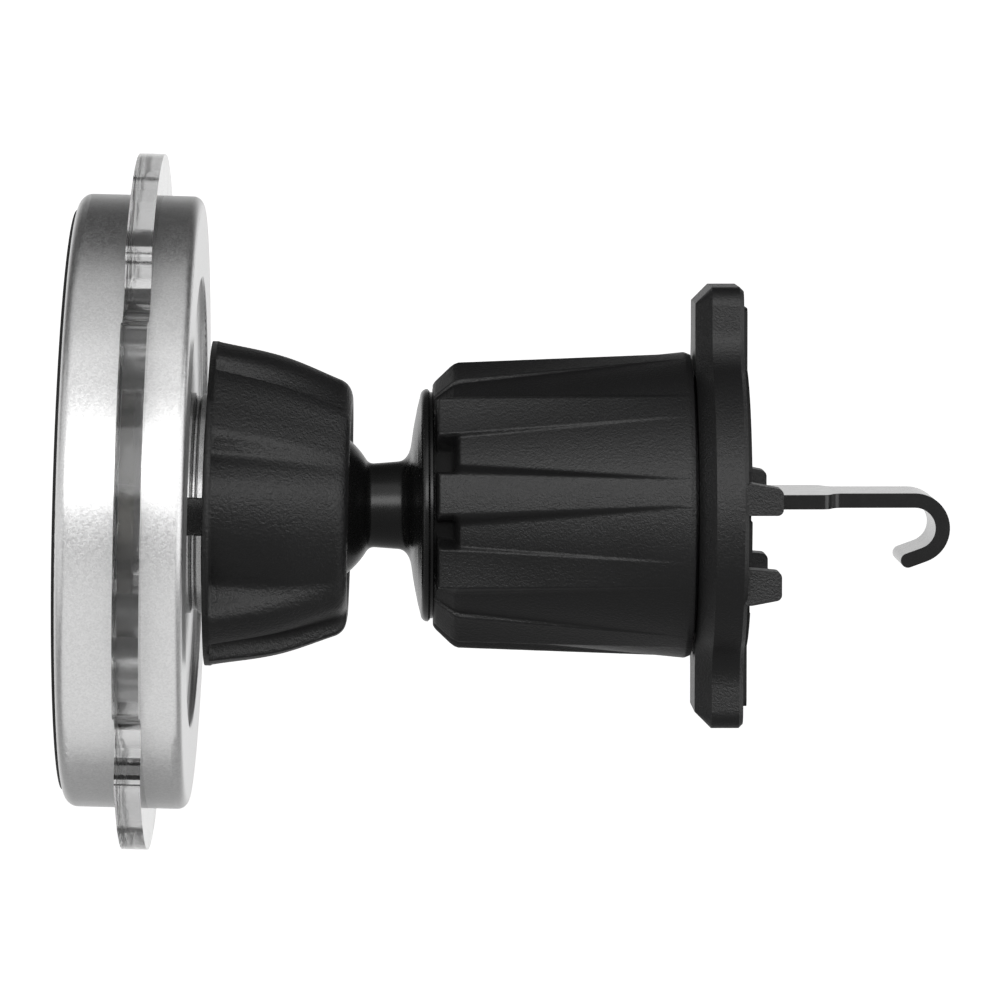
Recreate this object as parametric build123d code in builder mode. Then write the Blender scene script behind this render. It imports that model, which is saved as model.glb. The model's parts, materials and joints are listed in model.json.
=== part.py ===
from build123d import *
import math
import os

os.makedirs("parts", exist_ok=True)

# Car phone mount, in millimetres. The origin is on the clamp's axis, in the plane of the
# rubber pad that rests on the air vent. +X points into the vent, -X to the phone, +Z up.

# Driving dimensions of the vent clamp
plate_front = -5.1
plate_rear = -0.4
plate_radius = 15.9
tab_width = 12.5
tab_height = 43.1
plate_chamfer = 1.6
boss_radius = 12.5
boss_height = 1.8
sleeve_outer = 9.4
sleeve_inner = 8.2
sleeve_start = -30.9
sleeve_wall_end = -27.5
ear_slot_width = 4.3
ear_slot_start = -26.0
ear_slot_end = -6.6
pad_recess = 0.6
pad_margin = 1.6
prong_depth = 3.2

# Knob
knob_start = -30.6
knob_end = -5.4
rib_count = 10
rib_phase = 9.9
nose_radius = 10.0
rib_width_start = 4.9
rib_width_end = 2.6
rib_fade = -6.0
insert_radius = 11.3
insert_bore = 10.25
running_gap = 0.05

# Hook and its carriage
steel = 1.41
shank_bottom = 0.04
hook_wide = 14.8
hook_narrow = 10.4
hook_root = -14.0
taper_start = 7.0
taper_end = 9.3
bend_x = 16.33
bend_radius = 2.72
bend_turn = 160.0
tip_length = 1.7
past_bend = 25.0
carriage_start = -16.5
carriage_end = -8.5
rivet_radius = 1.2
rivet_x = -11.2
rivet_side = 3.2

# Ball and its stud
ball_x = -44.3
ball_radius = 8.5
neck_radius = 4.08
neck_taper = 0.22
neck_end = -34.0
stud_bore = 2.0
flange_radius = 11.4
spigot_radius = 6.0
spigot_end = -28.9

# Head: s runs from the ball's centre towards the phone, along the head's own axis
head_lean = 1.5
head_swing = -1.0
disc_radius = 30.0
disc_back = 9.4
ring_back = 13.25
ring_front = 15.75
shell_front = 21.5
face_front = 21.8
recess_radius = 22.0
recess_floor = 10.2
shell_inner = 27.6
front_round = 1.35
rear_round = 1.1
ring_outer = 34.07
ring_notch_radius = 31.0
notch_angles = (49.5, 130.5, 229.5, 310.5)
socket_radius = 9.9
socket_bore = 9.04
socket_flange = 14.0
flange_back = 12.4
flange_front = 13.7
socket_screw_circle = 12.0
pad_outer = 9.5
pad_half_angle = 30.0
ball_gap = 0.04
liner_radius = 9.0
nut_back = 7.6
nut_end_ring = 8.2
nut_mouth = -5.6
nut_big = 16.5
nut_waist = 1.0
nut_middle = 15.15
nut_small = 12.8
screw_circle = 19.0
magnet_count = 16
yoke_height = 0.75
magnet_height = 3.4

ball_centre = Vector(ball_x, 0, 0)
phone_way = Vector(-1, 0, 0).rotate(Axis.Y, head_lean).rotate(Axis.Z, head_swing)
up_way = Vector(0, 0, 1).rotate(Axis.Y, head_lean).rotate(Axis.Z, head_swing)
head = Plane(origin=ball_centre, x_dir=up_way, z_dir=phone_way)
side_way = phone_way.cross(up_way)
head_section = Plane(origin=ball_centre, x_dir=phone_way, z_dir=side_way)
head_axis = Axis(ball_centre, phone_way)

# The nut's outline turns about the head's axis in three equal parts. Each part has a sharp ridge, a
# shallow groove, a low swell, a deep scallop, a second ridge and a narrow gap, at these angles from
# the front and depths below the crest.
nut_parts = 3
nut_back_outline = ((53, 0), (38, 0.6), (20, 1.5), (4, 0.8), (-16, 2.2), (-33, 2.8), (-45, 0.2), (-59, 1.4))
nut_mouth_outline = ((48, 0), (35, 0.4), (18, 0.5), (3, 0.3), (-18, 0.6), (-35, 0.7), (-51, 0.1), (-62, 0.7))
nut_waist_outline = [
    ((back[0] + mouth[0]) / 2, (back[1] + mouth[1]) / 2)
    for back, mouth in zip(nut_back_outline, nut_mouth_outline)
]

with BuildPart() as clamp_body:
    with BuildSketch(Plane.YZ.offset(plate_front)) as plate_outline:
        Circle(plate_radius)
        Rectangle(tab_width, tab_height)
        fillet(plate_outline.vertices().filter_by(lambda v: abs(v.Y) > 18), 1.8)
        fillet(plate_outline.vertices().filter_by(lambda v: 10 < abs(v.Y) < 18), 4.5)
    extrude(amount=plate_rear - plate_front)
    chamfer(clamp_body.faces().sort_by(Axis.X)[0].edges(), plate_chamfer)
    chamfer(clamp_body.faces().sort_by(Axis.X)[-1].edges(), 0.4)
    # Four prongs straddle the vent blade: an upper and a lower pair.
    for outer in (15.6, -12.4):
        with BuildSketch(Plane.XZ.offset(outer)) as upper_prong:
            with BuildLine():
                Polyline((-0.8, 0), (2.9, 0), (2.9, 2.5), (0, 3.05), (-0.8, 3.05), close=True)
            make_face()
            fillet(upper_prong.vertices().group_by(Axis.X)[-1], 0.6)
        extrude(amount=-prong_depth)
    for outer in (13.2, -10.0):
        with BuildSketch(Plane.XZ.offset(outer)) as lower_prong:
            with BuildLine():
                Polyline((-0.8, -5.3), (2.9, -5.6), (2.9, -8.3), (0, -8.85), (-0.8, -8.85), close=True)
            make_face()
            fillet(lower_prong.vertices().group_by(Axis.X)[-1], 0.6)
        extrude(amount=-prong_depth)
    # The raised boss and the sleeve that the knob turns on
    with BuildSketch(Plane.YZ.offset(plate_front)):
        Circle(boss_radius)
    extrude(amount=-boss_height)
    with BuildSketch(Plane.YZ.offset(sleeve_start)):
        Circle(sleeve_outer)
    extrude(amount=plate_front - sleeve_start)
    with BuildSketch(Plane.YZ.offset(sleeve_wall_end)):
        Circle(sleeve_inner)
    extrude(amount=plate_front + 2.5 - sleeve_wall_end, mode=Mode.SUBTRACT)
    with BuildSketch(Plane.YZ.offset(sleeve_start)):
        Circle(spigot_radius)
    extrude(amount=spigot_end - sleeve_start, mode=Mode.SUBTRACT)
    with BuildSketch(Plane.YZ.offset(spigot_end)):
        Circle(2.1)
    extrude(amount=sleeve_wall_end - spigot_end, mode=Mode.SUBTRACT)
    # Slots for the carriage's two ears
    slot_length = ear_slot_end - ear_slot_start
    with BuildSketch(Plane.XY):
        with Locations((ear_slot_start + slot_length / 2, 0)):
            Rectangle(slot_length, ear_slot_width)
    extrude(amount=sleeve_outer + 1, both=True, mode=Mode.SUBTRACT)
    # The hook's slot and the pad's shallow recess
    with BuildSketch(Plane.YZ.offset(plate_front)):
        with Locations((0, shank_bottom + steel / 2)):
            Rectangle(hook_wide + 0.8, steel + 0.6)
    extrude(amount=plate_rear - plate_front, mode=Mode.SUBTRACT)
    with BuildSketch(Plane.YZ.offset(plate_rear - pad_recess)) as recess_outline:
        Circle(plate_radius - pad_margin)
        RectangleRounded(tab_width - 2 * pad_margin, tab_height - 2 * 2.0, 0.8)
        for side in (-1, 1):
            with Locations((side * 14.0, 1.7)):
                Rectangle(4.4, 4.6, mode=Mode.SUBTRACT)
            with Locations((side * 11.6, -7.2)):
                Rectangle(4.4, 5.0, mode=Mode.SUBTRACT)
    extrude(amount=pad_recess, mode=Mode.SUBTRACT)
clamp_body.part.label = "clamp_body"
export_step(clamp_body.part, "parts/clamp_body.step")

with BuildPart() as vent_pad:
    with BuildSketch(Plane.YZ.offset(plate_rear - pad_recess)):
        Circle(plate_radius - pad_margin - 0.1)
        RectangleRounded(tab_width - 2 * pad_margin - 0.2, tab_height - 4.2, 0.7)
        for side in (-1, 1):
            with Locations((side * 14.0, 1.7)):
                Rectangle(4.6, 4.8, mode=Mode.SUBTRACT)
            with Locations((side * 11.6, -7.2)):
                Rectangle(4.6, 5.2, mode=Mode.SUBTRACT)
        with Locations((0, shank_bottom + steel / 2)):
            Rectangle(hook_wide + 1.6, steel + 1.4, mode=Mode.SUBTRACT)
    extrude(amount=pad_recess - plate_rear)
vent_pad.part.label = "vent_pad"
export_step(vent_pad.part, "parts/vent_pad.step")

with BuildPart() as ball_stud:
    with BuildSketch(Plane.XZ):
        with BuildLine():
            # The neck's end of the ball's arc, as an angle from +X
            neck_turn = math.degrees(math.asin(neck_radius / ball_radius))
            ball_arc = CenterArc((ball_x, 0), ball_radius, 180, neck_turn - 180)
            Line(ball_arc @ 1, (neck_end, neck_radius + neck_taper))
            Spline(
                (neck_end, neck_radius + neck_taper),
                (-33.04, 4.94),
                (-32.55, 7.08),
                (-32.16, 9.2),
                (-31.8, 10.75),
                tangents=((1, 0.1), (0.25, 1)),
            )
            ThreePointArc((-31.8, 10.75), (-31.55, 11.25), (sleeve_start - 0.2, flange_radius))
            Polyline(
                (sleeve_start - 0.2, flange_radius),
                (sleeve_start, flange_radius - 0.2),
                (sleeve_start, spigot_radius),
                (spigot_end, spigot_radius),
                (spigot_end, stud_bore),
                (-39.5, stud_bore),
                (-39.5, 0),
                (ball_x - ball_radius, 0),
            )
        make_face()
    revolve(axis=Axis.X)
    neck_root = ball_stud.edges().filter_by(GeomType.CIRCLE).sort_by_distance((-37, neck_radius, 0))[0]
    fillet(neck_root, 0.8)
ball_stud.part.label = "ball_stud"
export_step(ball_stud.part, "parts/ball_stud.step")

with BuildPart() as stud_screw:
    with BuildSketch(Plane.YZ.offset(-39.0)):
        Circle(1.98)
    extrude(amount=sleeve_wall_end + 39.0)
    with BuildSketch(Plane.YZ.offset(sleeve_wall_end)):
        Circle(3.6)
    extrude(amount=2.0)
    fillet(stud_screw.edges().group_by(Axis.X)[-1], 0.5)
    with BuildSketch(Plane.YZ.offset(sleeve_wall_end + 2.0)):
        RegularPolygon(1.4, 6)
    extrude(amount=-1.3, mode=Mode.SUBTRACT)
stud_screw.part.label = "stud_screw"
export_step(stud_screw.part, "parts/stud_screw.step")

with BuildPart() as flange_washer:
    with BuildSketch(Plane.YZ.offset(sleeve_start)):
        Circle(11.1)
        Circle(sleeve_outer + 0.02, mode=Mode.SUBTRACT)
    extrude(amount=0.25)
flange_washer.part.label = "flange_washer"
export_step(flange_washer.part, "parts/flange_washer.step")

with BuildPart() as knob:
    # The core between the ribs: a stepped nose, then a cone out to the rim
    with BuildSketch(Plane.XZ):
        with BuildLine():
            Polyline(
                (knob_start, sleeve_outer + running_gap),
                (knob_start, nose_radius),
                (-28.85, nose_radius),
                (-28.2, 12.75),
                (rib_fade, 15.0),
                (knob_end - 0.3, 15.05),
                (knob_end, 14.7),
                (knob_end, sleeve_outer + running_gap),
                close=True,
            )
        make_face()
    revolve(axis=Axis.X)
    # Ribs narrow towards the plate, where the core's cone has grown out to meet them.
    for k in range(rib_count):
        with BuildSketch(Plane.XY.rotated((90 - rib_phase + k * 360 / rib_count, 0, 0))):
            with BuildLine():
                Polyline(
                    (knob_start, -rib_width_start / 2),
                    (rib_fade, -rib_width_end / 2),
                    (rib_fade, rib_width_end / 2),
                    (knob_start, rib_width_start / 2),
                    close=True,
                )
            make_face()
        extrude(amount=16)
    # Everything outside the barrel's outline comes off the ribs.
    with BuildSketch(Plane.XZ):
        with BuildLine():
            Polyline(
                (knob_start, 20),
                (knob_start, 12.2),
                (-28.7, 14.05),
                (rib_fade, 15.0),
                (knob_end - 0.3, 15.05),
                (knob_end, 14.7),
                (knob_end, 20),
                close=True,
            )
        make_face()
    revolve(axis=Axis.X, mode=Mode.SUBTRACT)
    # Bores: the lip that turns on the sleeve, the insert's seat and the boss's counterbore
    with BuildSketch(Plane.XZ):
        with BuildLine():
            Polyline(
                (knob_start - 1, 0),
                (knob_start - 1, sleeve_outer + running_gap),
                (-28.2, sleeve_outer + running_gap),
                (-28.2, insert_radius),
                (-7.1, insert_radius),
                (-7.1, boss_radius + running_gap),
                (knob_end + 1, boss_radius + running_gap),
                (knob_end + 1, 0),
                close=True,
            )
        make_face()
    revolve(axis=Axis.X, mode=Mode.SUBTRACT)
knob.part.label = "knob"
export_step(knob.part, "parts/knob.step")

with BuildPart() as knob_insert:
    with BuildSketch(Plane.YZ.offset(-28.2)):
        Circle(insert_radius)
        Circle(insert_bore, mode=Mode.SUBTRACT)
    extrude(amount=21.0)
knob_insert.part.label = "knob_insert"
export_step(knob_insert.part, "parts/knob_insert.step")

with BuildPart() as hook_carriage:
    with BuildSketch(Plane.YZ.offset(carriage_start)):
        # Two ears reach through the sleeve's slots into the knob's thread.
        Circle(insert_bore - running_gap)
        Rectangle(ear_slot_width - 0.3, 2 * insert_bore, mode=Mode.INTERSECT)
        Circle(sleeve_inner - running_gap)
    extrude(amount=carriage_end - carriage_start)
    with BuildSketch(Plane.XZ):
        with Locations(((hook_root + carriage_end) / 2, shank_bottom + steel / 2)):
            Rectangle(carriage_end - hook_root, steel)
    extrude(amount=12, both=True, mode=Mode.SUBTRACT)
    with Locations((rivet_x, -rivet_side, 0), (rivet_x, rivet_side, 0)):
        Cylinder(rivet_radius, 2 * sleeve_outer, mode=Mode.SUBTRACT)
hook_carriage.part.label = "hook_carriage"
export_step(hook_carriage.part, "parts/hook_carriage.step")

with BuildPart() as hook:
    # The strip's side view: shank, round bend and a short tip
    with BuildSketch(Plane.XZ) as strip:
        with BuildLine() as strip_line:
            shank = Line((hook_root, shank_bottom + steel / 2), (bend_x, shank_bottom + steel / 2))
            bend = CenterArc((bend_x, shank_bottom + steel / 2 - bend_radius), bend_radius, 90, -bend_turn)
            tip = Line(bend @ 1, bend @ 1 + (bend % 1) * tip_length)
            offset(amount=steel / 2, side=Side.BOTH, kind=Kind.INTERSECTION)
        make_face()
    extrude(amount=hook_wide / 2, both=True)
    # The strip's plan view: wide at the slot, narrow from the taper to the tip
    with BuildSketch(Plane.XY):
        with BuildLine():
            wide = hook_wide / 2
            narrow = hook_narrow / 2
            Line((hook_root, -wide), (taper_start, -wide))
            Spline((taper_start, -wide), (taper_end, -narrow), tangents=((1, 0), (1, 0)))
            Polyline((taper_end, -narrow), (past_bend, -narrow), (past_bend, narrow), (taper_end, narrow))
            Spline((taper_end, narrow), (taper_start, wide), tangents=((-1, 0), (-1, 0)))
            Line((taper_start, wide), (hook_root, wide))
            Line((hook_root, wide), (hook_root, -wide))
        make_face()
    extrude(amount=12, both=True, mode=Mode.INTERSECT)
    with Locations((rivet_x, -rivet_side, 0), (rivet_x, rivet_side, 0)):
        Cylinder(rivet_radius, 2 * sleeve_outer, mode=Mode.SUBTRACT)
hook.part.label = "hook"
export_step(hook.part, "parts/hook.step")

with BuildPart() as hook_rivets:
    # The rivets stop just inside the carriage's round surface.
    rivet_reach = math.sqrt((sleeve_inner - running_gap) ** 2 - (rivet_side + rivet_radius) ** 2) - 0.1
    with Locations((rivet_x, -rivet_side, 0), (rivet_x, rivet_side, 0)):
        Cylinder(rivet_radius, 2 * rivet_reach)
hook_rivets.part.label = "hook_rivets"
export_step(hook_rivets.part, "parts/hook_rivets.step")

with BuildPart() as ball_pad:
    with BuildSketch(head_section):
        with BuildLine():
            inner_arc = CenterArc((0, 0), ball_radius + ball_gap, 0, pad_half_angle)
            outer_arc = CenterArc((0, 0), pad_outer, 0, pad_half_angle)
            Line(inner_arc @ 0, outer_arc @ 0)
            Line(inner_arc @ 1, outer_arc @ 1)
        make_face()
    revolve(axis=head_axis)
ball_pad.part.label = "ball_pad"
export_step(ball_pad.part, "parts/ball_pad.step")

with BuildPart() as ball_liner:
    with BuildSketch(head_section):
        with Locations((-0.35, liner_radius / 2)):
            Rectangle(6.7, liner_radius)
        with BuildLine():
            grip = CenterArc((0, 0), ball_radius + ball_gap, 0, 180)
            Line(grip @ 0, grip @ 1)
        make_face(mode=Mode.SUBTRACT)
    revolve(axis=head_axis)
ball_liner.part.label = "ball_liner"
export_step(ball_liner.part, "parts/ball_liner.step")

with BuildPart() as socket:
    with BuildSketch(head_section):
        with BuildLine():
            cup = pad_outer + running_gap
            cup_turn = math.degrees(math.asin(socket_bore / cup))
            bowl = CenterArc((0, 0), cup, cup_turn, -cup_turn)
            Polyline(
                (cup, 0),
                (flange_front, 0),
                (flange_front, socket_flange),
                (flange_back, socket_flange),
                (flange_back, socket_radius),
                (-2.6, socket_radius),
                (-4.5, 9.25),
                (-4.5, 8.5),
                (-3.75, 8.5),
                (-3.75, socket_bore),
                bowl @ 0,
            )
        make_face()
    revolve(axis=head_axis)
    # Slits part the collet into six fingers that the nut squeezes on to the liner.
    with BuildSketch(head.offset(-6)):
        for turn in (0, 60, 120):
            Rectangle(24, 0.8, rotation=turn)
        Circle(4, mode=Mode.SUBTRACT)
    extrude(amount=9.0, mode=Mode.SUBTRACT)
    with BuildSketch(head.offset(flange_back)):
        with PolarLocations(socket_screw_circle, 3):
            Circle(0.9)
    extrude(amount=flange_front - flange_back, mode=Mode.SUBTRACT)
socket.part.label = "socket"
export_step(socket.part, "parts/socket.step")

with BuildPart() as socket_screws:
    with BuildSketch(head.offset(10.9)):
        with PolarLocations(socket_screw_circle, 3):
            Circle(0.88)
    extrude(amount=flange_front - 10.9)
    with BuildSketch(head.offset(flange_front)):
        with PolarLocations(socket_screw_circle, 3):
            Circle(1.6)
    extrude(amount=1.0)
socket_screws.part.label = "socket_screws"
export_step(socket_screws.part, "parts/socket_screws.step")

with BuildPart() as nut_washer:
    with BuildSketch(head.offset(7.42)):
        Circle(12.0)
        Circle(socket_radius + running_gap, mode=Mode.SUBTRACT)
    extrude(amount=0.7)
nut_washer.part.label = "nut_washer"
export_step(nut_washer.part, "parts/nut_washer.step")

with BuildPart() as nut:
    for place, crest, outline in (
        (nut_back, nut_big, nut_back_outline),
        (nut_waist, nut_middle, nut_waist_outline),
        (nut_mouth, nut_small, nut_mouth_outline),
    ):
        with BuildSketch(head.offset(place)):
            with BuildLine():
                points = []
                for share in range(nut_parts):
                    for angle, depth in outline:
                        turn = math.radians(angle - 90 - share * 360 / nut_parts)
                        reach = crest - depth
                        points.append((reach * math.cos(turn), reach * math.sin(turn)))
                Spline(*points, periodic=True)
            make_face()
    loft()
    # The barrel's curved outline trims the ridges, and the mouth is rounded.
    with BuildSketch(head_section):
        with BuildLine():
            ThreePointArc((nut_back, nut_big), (nut_waist, nut_middle), (nut_mouth + 1.0, nut_small + 0.2))
            ThreePointArc(
                (nut_mouth + 1.0, nut_small + 0.2),
                (nut_mouth + 0.25, nut_small - 0.45),
                (nut_mouth, nut_small - 1.2),
            )
            Polyline(
                (nut_mouth, nut_small - 1.2),
                (nut_mouth - 1, nut_small - 1.2),
                (nut_mouth - 1, 24),
                (nut_back + 1, 24),
                (nut_back + 1, nut_big - 0.4),
                (nut_back, nut_big),
            )
        make_face()
    revolve(axis=head_axis, mode=Mode.SUBTRACT)
    # A plain end ring behind the ridges
    with BuildSketch(head.offset(nut_back)):
        Circle(nut_big - 0.5)
    extrude(amount=nut_end_ring - nut_back)
    with BuildSketch(head_section):
        with BuildLine():
            Polyline(
                (9, 0),
                (9, 12.1),
                (7.4, 12.1),
                (7.4, socket_radius + running_gap),
                (-2.6, socket_radius + running_gap),
                (-4.8, 9.2),
                (-6, 10.4),
                (-6, 0),
                close=True,
            )
        make_face()
    revolve(axis=head_axis, mode=Mode.SUBTRACT)
nut.part.label = "nut"
export_step(nut.part, "parts/nut.step")

with BuildPart() as rear_shell:
    with BuildSketch(head_section):
        with BuildLine():
            FilletPolyline(
                (recess_floor, recess_radius - 3.0),
                (recess_floor, recess_radius),
                (disc_back, recess_radius),
                (disc_back, disc_radius),
                (disc_back + 2.0, disc_radius),
                radius=(0.5, 0.25, rear_round),
            )
            Polyline(
                (disc_back + 2.0, disc_radius),
                (ring_back, disc_radius),
                (ring_back, shell_inner),
                (11.2, shell_inner),
                (11.2, 15.5),
                (flange_back, 15.5),
                (flange_back, socket_radius + running_gap),
                (recess_floor, socket_radius + running_gap),
                (recess_floor, recess_radius - 3.0),
            )
        make_face()
    revolve(axis=head_axis)
    with BuildSketch(head.offset(11.2)):
        with PolarLocations(screw_circle, 4, start_angle=45):
            Circle(2.4)
    extrude(amount=ring_front - 11.2)
    with BuildSketch(head.offset(12.0)):
        with PolarLocations(screw_circle, 4, start_angle=45):
            Circle(1.0)
    extrude(amount=ring_front - 12.0, mode=Mode.SUBTRACT)
    with BuildSketch(head.offset(10.9)):
        with PolarLocations(socket_screw_circle, 3):
            Circle(0.9)
    extrude(amount=flange_back - 10.9, mode=Mode.SUBTRACT)
rear_shell.part.label = "rear_shell"
export_step(rear_shell.part, "parts/rear_shell.step")

with BuildPart() as hub_collar:
    with BuildSketch(head_section):
        with BuildLine():
            Polyline((recess_floor, socket_radius + 0.02), (recess_floor, 10.8), (9.75, 10.8))
            ThreePointArc((9.75, 10.8), (9.35, 10.45), (8.95, 10.8))
            Polyline(
                (8.95, 10.8),
                (8.5, 10.8),
                (8.5, socket_radius + 0.02),
                (recess_floor, socket_radius + 0.02),
            )
        make_face()
    revolve(axis=head_axis)
    with BuildSketch(head.offset(8.4)):
        with Locations((-0.6, -10.4)):
            Rectangle(3.7, 1.6)
    extrude(amount=2.0, mode=Mode.SUBTRACT)
hub_collar.part.label = "hub_collar"
export_step(hub_collar.part, "parts/hub_collar.step")

with BuildPart() as clear_ring:
    with BuildSketch(head.offset(ring_back)) as ring_outline:
        Circle(ring_outer)
        # Four hollows divide the rim into four lobes.
        for angle in notch_angles:
            with PolarLocations(ring_notch_radius + 5.2, 1, start_angle=angle):
                Ellipse(5.2, 4.6, mode=Mode.SUBTRACT)
        fillet(ring_outline.vertices(), 1.5)
        Circle(21.8, mode=Mode.SUBTRACT)
    extrude(amount=ring_front - ring_back)
clear_ring.part.label = "clear_ring"
export_step(clear_ring.part, "parts/clear_ring.step")

with BuildPart() as front_shell:
    with BuildSketch(head_section):
        with BuildLine():
            Polyline(
                (ring_front, shell_inner),
                (ring_front, disc_radius),
                (shell_front, disc_radius),
                (shell_front, 28.6),
                (20.9, 28.6),
                (20.9, 0),
                (20.0, 0),
                (20.0, shell_inner),
                close=True,
            )
        make_face()
    revolve(axis=head_axis)
    widest = front_shell.edges().filter_by(GeomType.CIRCLE).group_by(SortBy.RADIUS)[-1]
    fillet(widest.sort_by(head_axis)[-1], front_round)
    with BuildSketch(head.offset(ring_front)):
        with PolarLocations(screw_circle, 4, start_angle=45):
            Circle(2.4)
    extrude(amount=20.9 - ring_front)
    with BuildSketch(head.offset(ring_front)):
        with PolarLocations(screw_circle, 4, start_angle=45):
            Circle(1.05)
    extrude(amount=20.9 - ring_front, mode=Mode.SUBTRACT)
    with BuildSketch(head.offset(19.8)):
        with PolarLocations(screw_circle, 4, start_angle=45):
            Circle(2.0)
    extrude(amount=1.1, mode=Mode.SUBTRACT)
front_shell.part.label = "front_shell"
export_step(front_shell.part, "parts/front_shell.step")

with BuildPart() as face_pad:
    with BuildSketch(head.offset(20.9)):
        Circle(28.55)
    extrude(amount=face_front - 20.9)
    chamfer(face_pad.edges().sort_by(head_axis)[-1], 0.2)
face_pad.part.label = "face_pad"
export_step(face_pad.part, "parts/face_pad.step")

with BuildPart() as magnets:
    with BuildSketch(head.offset(ring_front + yoke_height)):
        Circle(27.4)
        Circle(22.9, mode=Mode.SUBTRACT)
        with PolarLocations(25.0, magnet_count):
            Rectangle(8.0, 0.6, mode=Mode.SUBTRACT)
    extrude(amount=magnet_height)
magnets.part.label = "magnets"
export_step(magnets.part, "parts/magnets.step")

with BuildPart() as magnet_yoke:
    with BuildSketch(head.offset(ring_front)):
        Circle(27.4)
        Circle(22.4, mode=Mode.SUBTRACT)
    extrude(amount=yoke_height)
magnet_yoke.part.label = "magnet_yoke"
export_step(magnet_yoke.part, "parts/magnet_yoke.step")

with BuildPart() as shell_screws:
    with BuildSketch(head.offset(12.3)):
        with PolarLocations(screw_circle, 4, start_angle=45):
            Circle(0.98)
    extrude(amount=19.8 - 12.3)
    with BuildSketch(head.offset(19.8)):
        with PolarLocations(screw_circle, 4, start_angle=45):
            Circle(1.9)
    extrude(amount=1.0)
shell_screws.part.label = "shell_screws"
export_step(shell_screws.part, "parts/shell_screws.step")
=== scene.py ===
import bpy
import bmesh
import json
import math
from mathutils import Matrix, Vector


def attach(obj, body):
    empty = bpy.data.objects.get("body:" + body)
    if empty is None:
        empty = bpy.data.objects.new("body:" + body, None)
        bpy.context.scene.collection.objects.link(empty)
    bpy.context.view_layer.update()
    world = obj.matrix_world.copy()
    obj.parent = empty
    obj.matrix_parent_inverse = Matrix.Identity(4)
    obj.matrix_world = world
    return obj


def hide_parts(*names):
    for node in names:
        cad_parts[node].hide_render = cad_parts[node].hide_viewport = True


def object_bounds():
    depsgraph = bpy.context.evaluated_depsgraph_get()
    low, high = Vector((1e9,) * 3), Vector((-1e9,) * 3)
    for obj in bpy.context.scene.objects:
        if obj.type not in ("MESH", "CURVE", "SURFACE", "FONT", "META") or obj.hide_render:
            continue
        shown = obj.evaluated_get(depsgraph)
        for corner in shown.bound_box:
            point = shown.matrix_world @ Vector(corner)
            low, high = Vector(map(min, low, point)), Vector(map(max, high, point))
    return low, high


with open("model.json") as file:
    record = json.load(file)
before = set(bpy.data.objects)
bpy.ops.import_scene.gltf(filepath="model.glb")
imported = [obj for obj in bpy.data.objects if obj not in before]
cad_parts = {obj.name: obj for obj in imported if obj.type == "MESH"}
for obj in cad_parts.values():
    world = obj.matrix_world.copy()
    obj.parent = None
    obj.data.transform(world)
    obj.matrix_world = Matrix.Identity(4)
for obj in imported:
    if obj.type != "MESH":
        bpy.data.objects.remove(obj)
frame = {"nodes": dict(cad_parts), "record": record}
cadLow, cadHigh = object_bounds()
nodes = frame["nodes"]
mm = 0.001
print("frame loaded:", len(nodes), "CAD nodes")


# shader wiring: a socket that can be added, subtracted, multiplied and divided like a number
class Wire:
    def __init__(self, tree, socket=None):
        self.tree = tree
        self.socket = socket

    def add(self, kind, settings=None, inputs=None, outlet=0):
        node = self.tree.nodes.new("ShaderNode" + kind)
        for name, value in (settings or {}).items():
            if name == "stops":
                while len(node.color_ramp.elements) < len(value):
                    node.color_ramp.elements.new(0.5)
                for element, (place, level) in zip(node.color_ramp.elements, value):
                    element.position = place
                    element.color = grey(level)
            else:
                setattr(node, name, value)
        for name, value in (inputs or {}).items():
            if isinstance(name, int):
                plug = node.inputs[name]
            else:
                plug = next(s for s in node.inputs if name in (s.identifier, s.name))
            if isinstance(value, Wire):
                self.tree.links.new(value.socket, plug)
            else:
                plug.default_value = value
        if outlet is None:
            return None
        if isinstance(outlet, str):
            return Wire(self.tree, next(s for s in node.outputs if outlet in (s.identifier, s.name)))
        return Wire(self.tree, node.outputs[outlet])

    def maths(self, operation, *values):
        return self.add("Math", {"operation": operation}, dict(enumerate(values)))

    def __add__(self, other):
        return self.maths("ADD", self, other)

    def __radd__(self, other):
        return self.maths("ADD", other, self)

    def __sub__(self, other):
        return self.maths("SUBTRACT", self, other)

    def __rsub__(self, other):
        return self.maths("SUBTRACT", other, self)

    def __mul__(self, other):
        return self.maths("MULTIPLY", self, other)

    def __rmul__(self, other):
        return self.maths("MULTIPLY", other, self)

    def __truediv__(self, other):
        return self.maths("DIVIDE", self, other)

    def mix(self, first, second):
        return self.add("Mix", {"data_type": "RGBA"},
                        {"Factor_Float": self, "A_Color": first, "B_Color": second}, "Result_Color")


def grey(level, tint=0.0):
    return (level, level, level + tint, 1)


def newMaterial(name, recipe, **constants):
    made = bpy.data.materials.new(name)
    made.use_nodes = True
    tree = made.node_tree
    tree.nodes.clear()
    maker = Wire(tree)
    place = maker.add("TexCoord", outlet="Object")
    inputs = recipe(maker, place)
    inputs.update(constants)
    surface = maker.add("BsdfPrincipled", None, inputs)
    maker.add("OutputMaterial", None, {"Surface": surface}, None)
    return made


def noise(maker, place, size, detail=2.0, roughness=0.5):
    # size is the width of one blot, in metres
    return maker.add("TexNoise", None, {"Vector": place, "Scale": 1 / size, "Detail": detail,
                                        "Roughness": roughness}, "Fac")


def bump(maker, height, depth):
    return maker.add("Bump", None, {"Height": height, "Distance": depth, "Strength": 1.0}, "Normal")


# finishes
knobGrain = {"colour": 0.006, "roughness": 0.34, "grain": 0.25 * mm, "depth": 0.100 * mm}
nutGrain = {"colour": 0.006, "roughness": 0.34, "grain": 0.31 * mm, "depth": 0.140 * mm}


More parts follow.
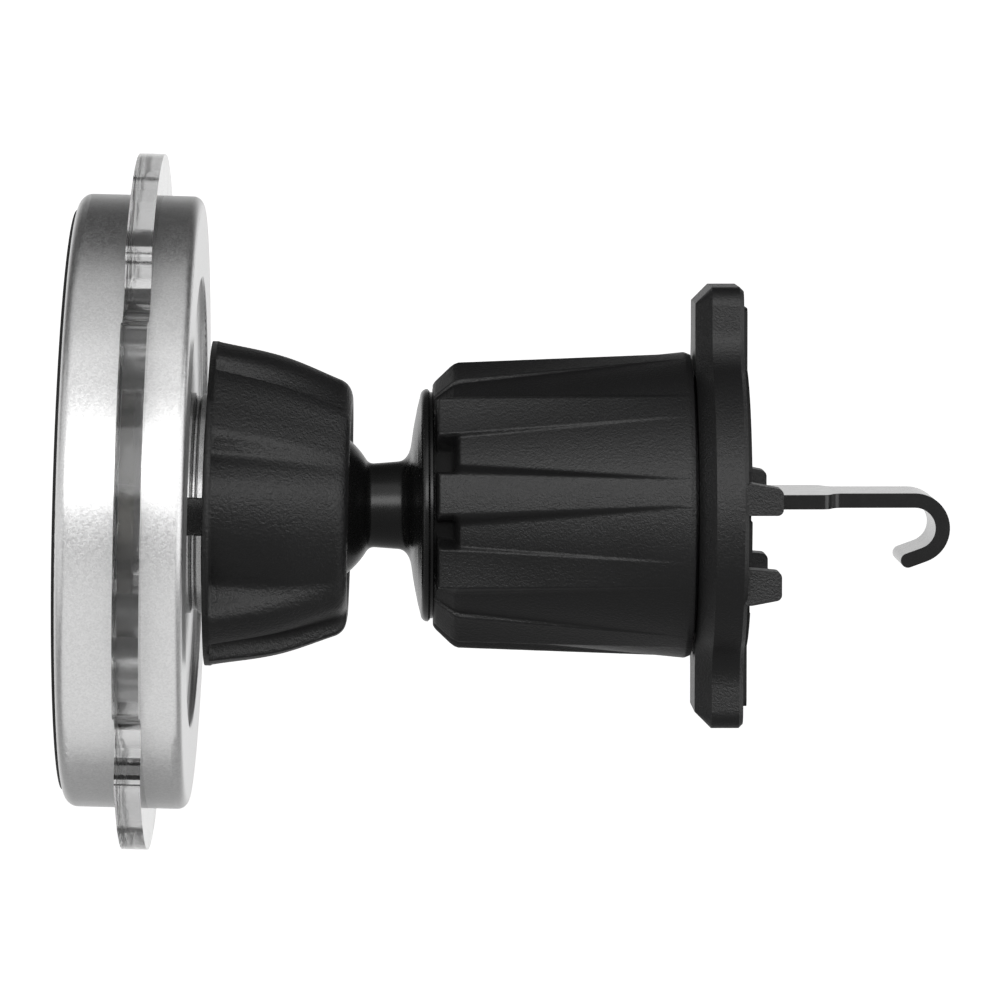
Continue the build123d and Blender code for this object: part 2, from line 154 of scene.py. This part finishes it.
def blackGrain(spec):
    # spark-eroded mould texture: small soft pits with a finer one between
    def recipe(maker, place):
        coarse = noise(maker, place, spec["grain"], 2.0, 0.6)
        fine = noise(maker, place, spec["grain"] * 0.42, 1.0)
        rubbed = noise(maker, place, 6 * mm, 3.0)
        colour = spec["colour"]
        return {
            "Base Color": rubbed.mix(grey(colour), grey(colour * 1.5, 0.0005)),
            "Roughness": spec["roughness"] + fine * 0.12 + rubbed * 0.05,
            "Normal": bump(maker, coarse * 0.7 + fine * 0.3, spec["depth"]),
        }
    return recipe


silverPaint = {"colour": 0.72, "roughness": 0.33, "flake": 0.16 * mm}


def silverFlake(maker, place):
    flakes = maker.add("TexVoronoi", {"feature": "F1"},
                       {"Vector": place, "Scale": 1 / silverPaint["flake"]}, "Color")
    sparkle = maker.add("SeparateColor", None, {"Color": flakes}, "Red")
    soft = noise(maker, place, silverPaint["flake"] * 1.6, 2.0)
    low, high = silverPaint["colour"] * 0.86, silverPaint["colour"] * 1.10
    return {
        "Base Color": (sparkle * 0.6 + soft * 0.4).mix(grey(low), grey(high)),
        "Roughness": silverPaint["roughness"] + (sparkle - 0.5) * 0.10,
        "Normal": bump(maker, sparkle * 0.5 + soft * 0.5, 0.010 * mm),
    }


def satinBlack(maker, place):
    soft = noise(maker, place, 0.18 * mm, 2.0)
    return {"Base Color": soft.mix(grey(0.004), grey(0.008)), "Roughness": 0.22 + soft * 0.10,
            "Normal": bump(maker, soft, 0.003 * mm)}


def platedSteel(maker, place):
    soft = noise(maker, place, 1.4 * mm, 3.0)
    drawn = maker.add("Mapping", {"vector_type": "POINT"}, {"Vector": place, "Scale": (0.05, 1, 1)})
    lines = noise(maker, drawn, 0.09 * mm, 2.0)
    return {"Base Color": soft.mix(grey(0.008), grey(0.014)), "Roughness": 0.12 + soft * 0.06 + lines * 0.04,
            "Normal": bump(maker, lines, 0.0012 * mm)}


def rubberSkin(maker, place):
    fine = noise(maker, place, 0.22 * mm, 2.0)
    cloudy = noise(maker, place, 5 * mm, 3.0)
    return {"Base Color": cloudy.mix(grey(0.010), grey(0.017)), "Roughness": 0.62 + fine * 0.15,
            "Normal": bump(maker, fine, 0.008 * mm)}


def clearAcrylic(maker, place):
    wave = noise(maker, place, 3 * mm, 2.0)
    return {"Base Color": grey(0.48), "Roughness": 0.03 + wave * 0.08,
            "Normal": bump(maker, wave, 0.02 * mm)}


def turnedSteel(maker, place):
    fine = noise(maker, place, 0.12 * mm, 3.0)
    return {"Base Color": fine.mix(grey(0.45), grey(0.60)), "Roughness": 0.22 + fine * 0.12,
            "Normal": bump(maker, fine, 0.002 * mm)}


def nickelSkin(maker, place):
    fine = noise(maker, place, 0.3 * mm, 3.0)
    return {"Base Color": fine.mix((0.55, 0.54, 0.50, 1), (0.68, 0.66, 0.61, 1)),
            "Roughness": 0.16 + fine * 0.1}


def turnedBrass(maker, place):
    fine = noise(maker, place, 0.15 * mm, 3.0)
    return {"Base Color": fine.mix((0.62, 0.42, 0.16, 1), (0.74, 0.53, 0.24, 1)),
            "Roughness": 0.25 + fine * 0.1}


def naturalNylon(maker, place):
    cloudy = noise(maker, place, 2 * mm, 3.0)
    return {"Base Color": cloudy.mix((0.62, 0.60, 0.54, 1), (0.72, 0.70, 0.64, 1)),
            "Roughness": 0.42 + cloudy * 0.1}


finishes = {
    "black_plastic": newMaterial("moulded black", blackGrain(knobGrain)),
    "black_gloss": newMaterial("satin black", satinBlack),
    "rubber": newMaterial("black rubber", rubberSkin),
    "silver": newMaterial("silver flake", silverFlake, Metallic=1.0),
    "clear_plastic": newMaterial("clear acrylic", clearAcrylic, **{"Transmission Weight": 1.0, "IOR": 1.49}),
    "chrome_trim": newMaterial("polished collar", turnedSteel, Metallic=1.0),
    "black_steel": newMaterial("black plated steel", platedSteel,
                               **{"Coat Weight": 0.15, "Coat Roughness": 0.05}),
    "steel": newMaterial("zinc plated steel", turnedSteel, Metallic=1.0),
    "nickel": newMaterial("nickel plate", nickelSkin, Metallic=1.0),
    "brass": newMaterial("turned brass", turnedBrass, Metallic=1.0),
    "nylon": newMaterial("natural nylon", naturalNylon),
}

slotOf = {part["node"]: part["material_slot"] for part in frame["record"]["subparts"]}
for name, piece in nodes.items():
    for place in piece.material_slots:
        place.material = finishes[slotOf[name]]
print("finishes given to the CAD pieces")


# making meshes
def finished(name, mesh, body, replaced, finish):
    # turns a bmesh into a piece that rides on its body and stands for its CAD node
    data = bpy.data.meshes.new(name)
    mesh.to_mesh(data)
    mesh.free()
    data.polygons.foreach_set("use_smooth", [True] * len(data.polygons))
    data.materials.append(finish)
    piece = bpy.data.objects.new(name, data)
    bpy.context.scene.collection.objects.link(piece)
    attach(piece, body)
    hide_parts(*replaced)
    return piece


def spunLoop(outline, steps):
    # a closed outline of (along X, radius) points, in millimetres, turned round the X axis
    mesh = bmesh.new()
    points = [mesh.verts.new((x * mm, 0, r * mm)) for x, r in outline]
    rims = [mesh.edges.new((points[i], points[(i + 1) % len(points)])) for i in range(len(points))]
    bmesh.ops.spin(mesh, geom=points + rims, cent=(0, 0, 0), axis=(1, 0, 0), angle=math.tau, steps=steps,
                   use_merge=True)
    bmesh.ops.remove_doubles(mesh, verts=mesh.verts, dist=1e-6)
    bmesh.ops.recalc_face_normals(mesh, faces=mesh.faces)
    return mesh


def ease(value, start, end):
    share = min(max((value - start) / (end - start), 0), 1)
    return share * share * (3 - 2 * share)


def between(table, place):
    # straight lines through a table of (place, value)
    for (a, low), (b, high) in zip(table, table[1:]):
        if place <= b:
            return low + (high - low) * max(place - a, 0) / (b - a)
    return table[-1][1]


def curve(table, place):
    # a smooth curve through a table of (place, value), with the slope between each point's neighbours
    count = len(table)
    k = next((i for i in range(1, count) if place <= table[i][0]), count - 1)
    (a, low), (b, high) = table[k - 1], table[k]
    before, after = table[max(k - 2, 0)], table[min(k + 1, count - 1)]
    span = b - a
    first = (high - before[1]) / (b - before[0]) * span
    second = (after[1] - low) / (after[0] - a) * span
    t = min(max((place - a) / span, 0), 1)
    return (low * (1 + 2 * t) * (1 - t) ** 2 + first * t * (1 - t) ** 2
            + high * t * t * (3 - 2 * t) + second * t * t * (t - 1))


# Rib centres are angles round the knob, 0 in front and 90 on top. The second number says which flank
# is the broad one: 1 the one at the greater angle, -1 the one at the lesser, 0 both alike.
# The ribs near the front and the back carry their full height to the knob's end, and the grooves
# beside them have a pocket there. The ribs at the top and bottom are chamfered.
knobSpec = {
    "ribs": [(8.4, 0), (43.6, 1), (80.2, 1), (117, -1), (152, -1),
             (188.4, 0), (224, 1), (262, 1), (300.5, -1), (337, -1)],
    "axis": 8.4, "steps": 900, "depth": 1.3, "crisp": 0.2, "even": 1.45, "broad": 1.9, "tilt": 0.9,
    "bevelFrom": (44, 56), "pocketTo": (36, 44), "edge": 0.12, "ease": 0.05,
    "blunt": [(-30.6, 10.0), (-30.27, 10.0), (-30.2, 13.6), (-30.0, 13.92), (-28.1, 14.05),
              (-6.0, 15.0), (-5.4, 14.75)],
    "bevelled": [(-30.6, 11.8), (-30.4, 12.15), (-28.9, 13.6), (-28.5, 13.9), (-28.1, 14.05),
                 (-6.0, 15.0), (-5.4, 14.75)],
    "pocket": [(-30.6, 10.0), (-28.95, 10.0), (-28.7, 10.3), (-28.3, 12.3), (-28.0, 12.75),
               (-6.0, 15.0), (-5.4, 14.75)],
    "shoulder": [(-30.6, 11.1), (-30.3, 11.4), (-28.6, 12.6), (-28.0, 12.78), (-6.0, 15.0), (-5.4, 14.75)],
    "halfWidth": [(-30.6, 2.0), (-6.0, 1.3)],
    "inside": [(-5.4, 12.55), (-7.1, 12.55), (-7.1, 11.32), (-28.2, 11.32), (-28.2, 9.45), (-30.6, 9.45)],
    "startRings": (0, 0.15, 0.3, 0.34, 0.4), "fineRings": 30, "coarseRings": 18,
    "endRings": (0.7, 0.55, 0.4, 0.25, 0.12, 0),
    # where the pockets' painted shade goes, along X and by radius, in millimetres
    "paintedShadeAlong": (-30.5, -28.6), "paintedShadeRadius": (9.6, 11),
}


def knobRadius(spec, x, turn):
    # the radius of the knob's outside at one point, in millimetres
    aside = abs((turn - spec["axis"] + 90) % 180 - 90)
    bevel, closed = ease(aside, *spec["bevelFrom"]), ease(aside, *spec["pocketTo"])
    top = between(spec["blunt"], x) * (1 - bevel) + between(spec["bevelled"], x) * bevel
    low = between(spec["pocket"], x) * (1 - closed) + between(spec["shoulder"], x) * closed
    if low >= top:
        return top
    off, side = min((((turn - centre + 180) % 360 - 180, side) for centre, side in spec["ribs"]),
                    key=lambda pair: abs(pair[0]))
    half = between(spec["halfWidth"], x)
    outward = math.radians(off) * top
    share = min((top - low) / spec["depth"], 1)
    if side:
        # these ribs' faces turn a little towards the front, so their outer edge stands highest
        place = min(max((outward * side / half + 1) / 2, 0), 1)
        top -= spec["tilt"] * (1 - place * place) * share
    flank = spec["even"] if side == 0 else spec["broad"] if side * off > 0 else spec["crisp"]
    return top - (top - low) * ease(abs(outward) - half, -spec["edge"], flank * share + spec["ease"])


def knobWidest(spec, x):
    return max(between(spec["blunt"], x), between(spec["bevelled"], x))


def makeKnob(spec):
    start, end = spec["blunt"][0][0], spec["blunt"][-1][0]
    near = [start + step for step in spec["startRings"]]
    near += [start + 0.1 * i for i in range(5, spec["fineRings"])]
    count, length = spec["coarseRings"], end - spec["endRings"][0] - near[-1]
    far = [near[-1] + length * i / count for i in range(1, count + 1)]
    rim = [end - step for step in spec["endRings"][1:]]
    outline = [(x, knobWidest(spec, x)) for x in near + far + rim] + spec["inside"]
    mesh = spunLoop(outline, spec["steps"])
    for vert in mesh.verts:
        x, y, z = vert.co / mm
        radius = math.hypot(y, z)
        if radius < knobWidest(spec, x) - 0.02:
            continue
        wanted = knobRadius(spec, x, math.degrees(math.atan2(z, -y)))
        vert.co.y *= wanted / radius
        vert.co.z *= wanted / radius
    piece = finished("knob_shell", mesh, "knob", ["knob"], finishes["black_plastic"])
    # the pocket faces get a duller black with little shine: painted shade for the shadow deep in the pockets
    piece.data.materials.append(newMaterial("pocket painted shade", rubberSkin, **{"Specular IOR Level": 0.12}))
    (first, last), (least, most) = spec["paintedShadeAlong"], spec["paintedShadeRadius"]
    for face in piece.data.polygons:
        middle = face.center / mm
        if first < middle.x < last and least < math.hypot(middle.y, middle.z) < most:
            face.material_index = 1


makeKnob(knobSpec)
print("knob made")

# The nut's section comes three times round. Each row is a point of it: angle and depth below the
# crest at the back, then angle and depth at the mouth.
nutSpec = {
    "steps": 720, "rings": 40, "parts": 3, "phase": 2.0,
    "centre": (-44.3, 0, 0), "lean": 1.5, "swing": -1.0, "leastOutside": 11.4, "leastCrest": 16.2,
    "crest": [(-7.6, 16.5), (-1.0, 15.15), (4.6, 13.0)],
    "corner": [(4.9, 12.82), (5.15, 12.6), (5.35, 12.33), (5.5, 12.0), (5.6, 11.6)],
    "inside": [(5.6, 10.0), (4.8, 9.25), (2.6, 9.98), (-7.4, 9.98), (-7.4, 12.13), (-8.2, 12.13),
               (-8.2, 15.9), (-7.6, 15.9)],
    "section": [(-66, 0, -71, 0), (-64.2, 1.5, -69, 0.9), (-61.5, 1.9, -66, 1.15), (-59.8, 1.7, -62, 1.0),
                (-56.3, 0.4, -54, 0.5), (-53, 0.08, -48, 0.2), (-45, 0.05, -43, 0.25), (-42, 0.3, -40, 0.4),
                (-39.5, 1.0, -38, 0.5), (-36.5, 2.1, -36, 0.6), (-33, 2.75, -34, 0.7), (-28, 2.7, -28, 0.7),
                (-18, 2.05, -18, 0.6), (-8, 1.3, -8, 0.42), (2, 0.85, 2, 0.3), (10, 0.85, 8, 0.28),
                (16, 1.3, 14, 0.4), (21, 1.8, 19, 0.6), (24, 1.45, 22, 0.64), (28, 0.8, 26, 0.62),
                (32, 0.7, 30, 0.6), (40, 0.58, 38, 0.42), (50, 0.1, 45, 0.08), (54, 0, 49, 0)],
}


def makeNut(spec):
    back, mouth = spec["crest"][0], spec["crest"][-1]
    count, pitch = spec["rings"], 360 / spec["parts"]
    rings = [back[0] + (mouth[0] - back[0]) * i / count for i in range(count + 1)]
    outline = [(x, curve(spec["crest"], x)) for x in rings] + spec["corner"] + spec["inside"]
    mesh = spunLoop(outline, spec["steps"])
    tables = {}
    for vert in mesh.verts:
        x, y, z = vert.co / mm
        radius = math.hypot(y, z)
        # the bore, the end ring and the ring's foot stay round, but the floor of the end recess does not
        if radius < spec["leastOutside"] or x < back[0] - 0.01:
            continue
        if x < back[0] + 0.01 and radius < spec["leastCrest"]:
            continue
        share = min((x - back[0]) / (mouth[0] - back[0]), 1)
        key = round(share, 4)
        if key not in tables:
            tables[key] = [(a + (c - a) * share, b + (d - b) * share) for a, b, c, d in spec["section"]]
        table = tables[key]
        turn = (math.degrees(math.atan2(z, -y)) - spec["phase"] - table[0][0]) % pitch + table[0][0]
        deep = curve(table, turn)
        vert.co.y *= 1 - deep / radius
        vert.co.z *= 1 - deep / radius
    swing = Matrix.Rotation(math.radians(spec["swing"]), 4, "Z")
    lean = Matrix.Rotation(math.radians(spec["lean"]), 4, "Y")
    mesh.transform(Matrix.Translation(Vector(spec["centre"]) * mm) @ (swing @ lean))
    finish = newMaterial("coarse moulded black", blackGrain(nutGrain))
    finished("nut_shell", mesh, "nut", ["nut"], finish)


makeNut(nutSpec)
print("nut made")


# stage, lights and camera
stageSpec = {"drop": 0.15, "radius": 2.4, "curve": 0.9, "height": 1.6, "glow": 0.9}


def makeStage(spec):
    # a round floor that curves up into a wall, so every view has the same pale ground
    mesh = bmesh.new()
    flat = spec["radius"] - spec["curve"]
    outline = [(0, 0), (flat, 0)]
    for turn in range(10, 91, 10):
        up = math.radians(turn)
        outline.append((flat + spec["curve"] * math.sin(up), spec["curve"] * (1 - math.cos(up))))
    outline.append((spec["radius"], spec["height"]))
    points = [mesh.verts.new((r, 0, h)) for r, h in outline]
    rims = [mesh.edges.new(pair) for pair in zip(points, points[1:])]
    bmesh.ops.spin(mesh, geom=points + rims, cent=(0, 0, 0), axis=(0, 0, 1), angle=math.tau, steps=96,
                   use_merge=True)
    bmesh.ops.remove_doubles(mesh, verts=mesh.verts, dist=1e-5)
    bmesh.ops.recalc_face_normals(mesh, faces=mesh.faces)
    middle = (cadLow + cadHigh) / 2
    bmesh.ops.translate(mesh, verts=mesh.verts, vec=(middle.x, middle.y, cadLow.z - spec["drop"]))
    data = bpy.data.meshes.new("floor")
    mesh.to_mesh(data)
    mesh.free()
    data.polygons.foreach_set("use_smooth", [True] * len(data.polygons))
    floor = bpy.data.objects.new("floor", data)
    bpy.context.scene.collection.objects.link(floor)
    floor.visible_glossy = False
    floor.visible_diffuse = False
    floor.visible_shadow = False
    paint = bpy.data.materials.new("pale floor")
    paint.use_nodes = True
    paint.node_tree.nodes.clear()
    maker = Wire(paint.node_tree)
    surface = maker.add("BsdfPrincipled", None, {
        "Base Color": grey(0.85), "Roughness": 1.0,
        "Emission Color": grey(1.0), "Emission Strength": spec["glow"],
    })
    maker.add("OutputMaterial", None, {"Surface": surface}, None)
    data.materials.append(paint)


def makeSky():
    # dim all round, dark high up behind the object, and a white wall behind it at its own height
    world = bpy.data.worlds.new("studio")
    bpy.context.scene.world = world
    world.use_nodes = True
    world.node_tree.nodes.clear()
    maker = Wire(world.node_tree)
    way = maker.add("TexCoord", outlet="Generated")
    y, z = (maker.add("SeparateXYZ", None, {"Vector": way}, part) for part in "YZ")
    # the turn round the X axis in degrees: 0 is in front, 90 is overhead and 180 is behind
    turn = maker.maths("ARCTAN2", z, 0 - y)
    stops = [(-180, 1.0), (-166, 0.9), (-148, 0.40), (-100, 0.26), (-50, 0.22), (-10, 0.26), (50, 0.26),
             (75, 0.18), (93, 0.11), (110, 0.06), (145, 0.05), (160, 0.40), (169, 0.9), (180, 1.0)]
    light = maker.add("ValToRGB", {"stops": [((a + 180) / 360, level) for a, level in stops]},
                      {"Fac": turn / math.tau + 0.5}, "Color")
    back = maker.add("Background", None, {"Color": light, "Strength": 1.0})
    maker.add("OutputWorld", None, {"Surface": back}, None)


# the first three lamps light everything, and the fills only the parts with the bright slots
lights = {
    # name: turn round the X axis, turn towards +X, distance, width, height, radiance, whose it lights
    "key": (17, 0, 0.8, 1.6, 0.30, 2.7, None),
    "wide front": (34, 0, 0.8, 1.6, 0.90, 0.55, None),
    "right side": (20, 72, 0.9, 0.8, 0.8, 1.3, None),
    "left fill": (15, -75, 0.9, 0.8, 1.0, 0.6, "brightParts"),
    "low fill": (-62, 0, 0.8, 1.6, 1.40, 0.66, "brightParts"),
    "front fill": (10, 0, 0.8, 1.6, 1.00, 0.25, "brightParts"),
    "top fill": (78, 0, 0.8, 1.6, 0.70, 0.46, "brightParts"),
}
brightSlots = ("silver", "clear_plastic", "chrome_trim")


def makeLights():
    # the fills belong to the silver and clear parts alone, as a reflector card close to them would
    cards = bpy.data.collections.new("brightParts")
    for name, piece in nodes.items():
        if slotOf[name] in brightSlots:
            cards.objects.link(piece)
    for name, (turn, aside, far, width, height, radiance, whose) in lights.items():
        lamp = bpy.data.lights.new(name, "AREA")
        lamp.shape = "RECTANGLE"
        lamp.size, lamp.size_y = width, height
        lamp.energy = radiance * math.pi * width * height
        thing = bpy.data.objects.new(name, lamp)
        thing.visible_camera = False
        bpy.context.scene.collection.objects.link(thing)
        up, over = math.radians(turn), math.radians(aside)
        away = Vector((math.sin(over), -math.cos(up) * math.cos(over), math.sin(up) * math.cos(over)))
        aim = (cadLow + cadHigh) / 2
        turned = away.to_track_quat("Z", "Y").to_matrix().to_4x4()
        thing.matrix_world = Matrix.Translation(aim + away * far) @ turned
        if whose:
            thing.light_linking.receiver_collection = cards


cameraSpec = {"distance": 0.657, "lens": 241.3, "aside": 0.0128, "rise": 3.95,
              "aim": (-0.0240, 0, 0.0005), "sensor": 36, "clip": 20}


def makeCamera(spec):
    aim = Vector(spec["aim"])
    rise = math.radians(spec["rise"])
    away = Vector((-spec["aside"], -spec["distance"] * math.cos(rise), spec["distance"] * math.sin(rise)))
    lens = bpy.data.cameras.new("camera")
    lens.lens = spec["lens"]
    lens.sensor_width = spec["sensor"]
    lens.clip_end = spec["clip"]
    thing = bpy.data.objects.new("camera", lens)
    bpy.context.scene.collection.objects.link(thing)
    turned = (-away).to_track_quat("-Z", "Y").to_matrix().to_4x4()
    thing.matrix_world = Matrix.Translation(aim + away) @ turned
    bpy.context.scene.camera = thing


makeStage(stageSpec)
makeSky()
makeLights()
makeCamera(cameraSpec)
bpy.context.scene.view_settings.view_transform = "Standard"
print("stage, lights and camera set")
